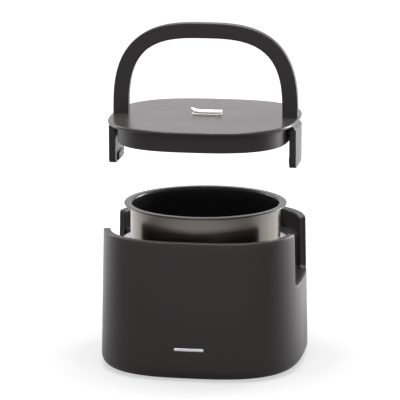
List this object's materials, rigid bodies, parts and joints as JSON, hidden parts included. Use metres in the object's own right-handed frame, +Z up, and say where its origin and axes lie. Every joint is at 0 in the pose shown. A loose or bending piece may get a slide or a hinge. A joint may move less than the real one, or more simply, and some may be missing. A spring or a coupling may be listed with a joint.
{
  "type": "electric lunch box",
  "caption": "Electric lunch box: heated rounded-square base, round inner pot drawn up out of its well, lift-off lid with a carry handle, side latches and a steam flap.",
  "frame": {"origin": "centre of the base on the surface it stands on", "axes": "+Z up through the handle, -Y towards the front with the light bar, +X to the right latch seen from the front"},
  "size_m": [0.1896, 0.1936, 0.3189],
  "materials": {
    "shell_plastic": "satin moulded polypropylene, warm charcoal",
    "deck_plastic": "satin moulded polypropylene",
    "cover_plastic": "fine spark-eroded texture",
    "foot_rubber": "matt",
    "plated_steel": "zinc-plated screws and pins",
    "well_steel": "spun stainless sheet",
    "seal_silicone": "translucent white silicone",
    "insulation_fibre": "ceramic fibre paper",
    "cast_aluminium": "fine cast, machined face",
    "element_steel": "annealed steel sheath",
    "switch_ceramic": "glazed ceramic body",
    "fuse_body": "resin",
    "shield_aluminium": "mill finish sheet",
    "board_laminate": "glass-fibre board with green lacquer",
    "component_plastic": "moulded component cases",
    "lens_plastic": "diffusing light-grey lens",
    "inlet_plastic": "flame-retardant black plastic",
    "contact_brass": "plated blades",
    "lead_red": "silicone sleeve",
    "lead_white": "glass-fibre sleeve",
    "pot_aluminium": "warm grey coated outside, dark non-stick inside",
    "lid_plastic": "satin moulded polypropylene",
    "frame_plastic": "satin moulded polypropylene",
    "inner_lid_steel": "pressed stainless sheet",
    "handle_plastic": "satin moulded, fine grain",
    "latch_plastic": "satin moulded"
  },
  "bodies": {
    "base": {"body_shell": "shell_plastic", "base_cover": "cover_plastic", "rubber_feet": "foot_rubber", "base_screws": "plated_steel", "top_deck": "deck_plastic", "well_gasket": "seal_silicone", "heating_well": "well_steel", "insulation_band": "insulation_fibre", "heating_plate": "cast_aluminium", "heating_element": "element_steel", "thermostat": "switch_ceramic", "thermostat_clip": "plated_steel", "clip_screws": "plated_steel", "thermal_fuse": "fuse_body", "heat_shield": "shield_aluminium", "shield_spacers": "plated_steel", "control_board": "board_laminate", "board_components": "component_plastic", "board_screws": "plated_steel", "light_lens": "lens_plastic", "led_board": "board_laminate", "power_inlet": "inlet_plastic", "inlet_pins": "contact_brass", "latch_catches": "plated_steel", "catch_screws": "plated_steel", "mains_leads": "lead_red", "element_leads": "lead_white"},
    "pot": {"cooking_pot": "pot_aluminium"},
    "lid": {"lid_plate": "lid_plastic", "lid_frame": "frame_plastic", "inner_lid": "inner_lid_steel", "inner_lid_screws": "plated_steel", "lid_seal": "seal_silicone", "vent_seat": "seal_silicone", "handle": "handle_plastic", "handle_screws": "plated_steel", "latch_pins": "plated_steel", "latch_springs": "plated_steel"},
    "latch_left": {"latch_left": "latch_plastic"},
    "latch_right": {"latch_right": "latch_plastic"},
    "vent_flap": {"vent_flap": "seal_silicone"}
  },
  "joints": [
    {"name": "pot_lift", "type": "slide", "parent": "base", "child": "pot", "axis": [0, 0, 1], "range_m": [-0.035, 0.06]},
    {"name": "lid_lift", "type": "slide", "parent": "pot", "child": "lid", "axis": [0, 0, 1], "range_m": [-0.0625, 0.06]},
    {"name": "latch_right_hinge", "type": "hinge", "parent": "lid", "child": "latch_right", "pos_m": [0.0836, 0, 0.2199], "axis": [0, -1, 0], "range_deg": [-5, 18], "stiffness_Nm_per_rad": 0.05},
    {"name": "latch_left_hinge", "type": "hinge", "parent": "lid", "child": "latch_left", "pos_m": [-0.0836, 0, 0.2199], "axis": [0, 1, 0], "range_deg": [-5, 18], "stiffness_Nm_per_rad": 0.05},
    {"name": "vent_flap_hinge", "type": "hinge", "parent": "lid", "child": "vent_flap", "pos_m": [0.0133, 0.006, 0.23425], "axis": [0, 1, 0], "range_deg": [0, 65]}
  ]
}
